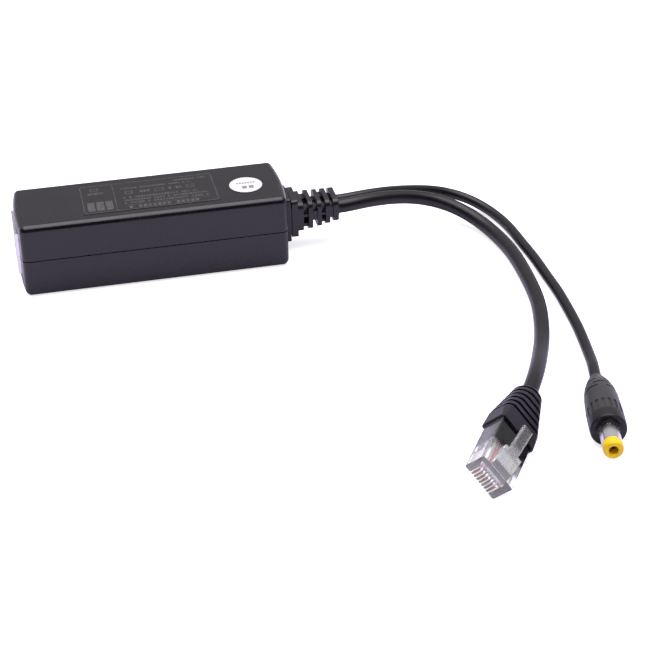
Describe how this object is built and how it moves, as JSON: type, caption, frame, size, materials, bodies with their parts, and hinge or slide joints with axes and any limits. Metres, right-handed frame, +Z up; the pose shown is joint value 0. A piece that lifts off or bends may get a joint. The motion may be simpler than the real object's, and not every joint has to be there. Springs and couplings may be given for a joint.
{
  "type": "poe splitter",
  "caption": "Slim black in-line power-over-network splitter: a jack in one end, and a network lead and a barrel power lead leaving through one ribbed strain relief at the other.",
  "frame": {"origin": "centre of the housing's underside, on the surface it stands on, taken over the housing with its jack and without the leads", "axes": "+X along the housing from the jack to the leads, -Y the long side that faces the picture, +Z up"},
  "size_m": [0.1597, 0.1626, 0.0238],
  "materials": {
    "housing_black": "satin black moulded shell with a fine spark texture",
    "label_film": "black printed film with pale print blocks",
    "sticker_white": "white coated paper disc",
    "board_green": "green solder mask on glass-fibre board",
    "shield_metal": "tinned sheet",
    "insert_black": "black glass-filled moulding",
    "contact_gold": "gold-plated",
    "chip_black": "black epoxy moulding with tinned leads",
    "can_sleeve": "shrink sleeve over an aluminium can",
    "can_sleeve_black": "black shrink sleeve over an aluminium can",
    "choke_black": "black shrink tube over a ferrite drum",
    "ferrite": "matt sintered ferrite",
    "former_brown": "phenolic former",
    "winding_tape": "yellow polyester tape over copper wire",
    "opto_white": "white epoxy moulding",
    "chip_tan": "tan ceramic with tinned ends",
    "chip_resistor": "black glaze with tinned ends",
    "wire_pairs": "coloured wire insulation",
    "wire_power": "red and black wire insulation",
    "relief_black": "flexible black moulding",
    "lead_black": "satin black jacket",
    "boot_black": "flexible charcoal boot",
    "plug_clear": "clear moulded polycarbonate",
    "plug_wire": "coloured wire insulation",
    "handle_black": "flexible black overmould with fine grip grooves",
    "sleeve_nickel": "nickel-plated barrel",
    "nose_yellow": "yellow insulating nose",
    "inner_brass": "plated spring contact"
  },
  "bodies": {
    "root": {"bottom_shell": "housing_black", "top_shell": "housing_black", "rating_label": "label_film", "inspection_sticker": "sticker_white", "circuit_board": "board_green", "jack_shield": "shield_metal", "jack_insulator": "insert_black", "jack_contacts": "contact_gold", "lan_transformer": "chip_black", "bridge_rectifiers": "chip_black", "controller_chip": "chip_black", "switching_transistor": "chip_black", "input_capacitor": "can_sleeve", "input_choke": "choke_black", "transformer_core": "ferrite", "transformer_bobbin": "former_brown", "transformer_winding": "winding_tape", "optocoupler": "opto_white", "output_diode": "chip_black", "output_capacitors": "can_sleeve_black", "output_choke": "choke_black", "chip_capacitors": "chip_tan", "chip_resistors": "chip_resistor", "data_wires": "wire_pairs", "power_wires": "wire_power", "strain_relief": "relief_black", "ethernet_lead": "lead_black", "dc_lead": "lead_black", "plug_boot": "boot_black", "plug_body": "plug_clear", "plug_contacts": "contact_gold", "plug_wires": "plug_wire", "dc_handle": "handle_black", "dc_sleeve": "sleeve_nickel", "dc_insulator": "nose_yellow", "dc_inner_contact": "inner_brass"}
  },
  "joints": []
}
